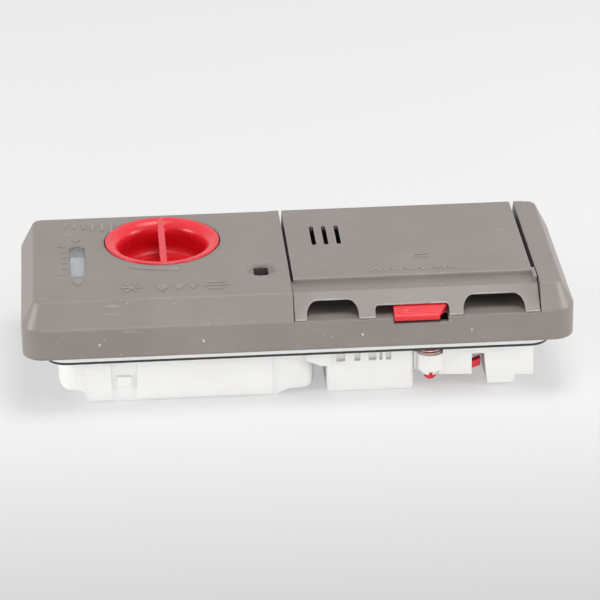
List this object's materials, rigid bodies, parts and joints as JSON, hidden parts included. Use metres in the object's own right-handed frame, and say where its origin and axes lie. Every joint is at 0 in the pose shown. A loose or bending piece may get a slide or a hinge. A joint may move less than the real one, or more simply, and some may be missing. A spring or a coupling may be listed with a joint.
{
  "type": "dishwasher detergent dispenser",
  "caption": "Door-mounted dishwasher dispenser: bevelled grey panel with a sliding lid over a detergent cup, a red turn cap on a rinse-aid tank, a push latch and a solenoid release behind.",
  "frame": {"origin": "under the middle of the front panel, on the surface that the rear pots stand on", "axes": "+X along the panel from the cap to the lid, +Y the way the lid slides open, +Z out of the panel's face"},
  "size_m": [0.25, 0.1047, 0.0545],
  "materials": {
    "panel_grey": "fine-grained satin moulded polypropylene",
    "cap_red": "smooth moulded, soft gloss",
    "housing_white": "natural white polypropylene, slightly waxy",
    "lens_clear": "clear moulded plastic",
    "seal_rubber": "matt black rubber",
    "spring_steel": "drawn wire",
    "yoke_steel": "zinc-plated sheet",
    "terminal_brass": "tinned brass",
    "bobbin_black": "glass-filled nylon",
    "winding_copper": "lacquered copper wire"
  },
  "bodies": {
    "housing": {"face_panel": "panel_grey", "lid_spring": "spring_steel", "level_lens": "lens_clear", "level_indicator": "housing_white", "carrier": "housing_white", "door_gasket": "seal_rubber", "reservoir": "housing_white", "latch_spring": "spring_steel", "lever_pin": "spring_steel", "actuator_cover": "housing_white", "terminal_blades": "terminal_brass", "solenoid_yoke": "yoke_steel", "solenoid_bobbin": "bobbin_black", "solenoid_winding": "winding_copper", "plunger_spring": "spring_steel", "cover_screws": "spring_steel"},
    "lid": {"detergent_lid": "panel_grey"},
    "cap": {"rinse_cap": "cap_red", "cap_seal": "seal_rubber"},
    "latch_button": {"latch": "cap_red"},
    "lever": {"release_lever": "cap_red"},
    "plunger": {"solenoid_plunger": "yoke_steel", "dosing_piston": "housing_white", "dosing_seal": "seal_rubber"}
  },
  "joints": [
    {"name": "lid_slide", "type": "slide", "parent": "housing", "child": "lid", "axis": [0, 1, 0], "range_m": [0, 0.062], "deforming": ["lid_spring"]},
    {"name": "cap_turn", "type": "hinge", "parent": "housing", "child": "cap", "pos_m": [-0.0592, 0.0164, 0.045], "axis": [0, 0, 1], "range_deg": [0, 90]},
    {"name": "latch_press", "type": "slide", "parent": "housing", "child": "latch_button", "axis": [0, 0, -1], "range_m": [0, 0.003], "stiffness_N_per_m": 400, "springref_m": -0.002, "deforming": ["latch_spring"]},
    {"name": "lever_swing", "type": "hinge", "parent": "housing", "child": "lever", "pos_m": [0.076, -0.029, 0.0085], "axis": [0, 1, 0], "range_deg": [-11.2, 0]},
    {"name": "plunger_stroke", "type": "slide", "parent": "housing", "child": "plunger", "axis": [-1, 0, 0], "range_m": [0, 0.0012], "deforming": ["plunger_spring"]}
  ],
  "couplings": [
    {"joint": "lever_swing", "follows": "latch_press", "rad_per_m": -64.516},
    {"joint": "plunger_stroke", "follows": "latch_press", "ratio": 0.3871}
  ]
}
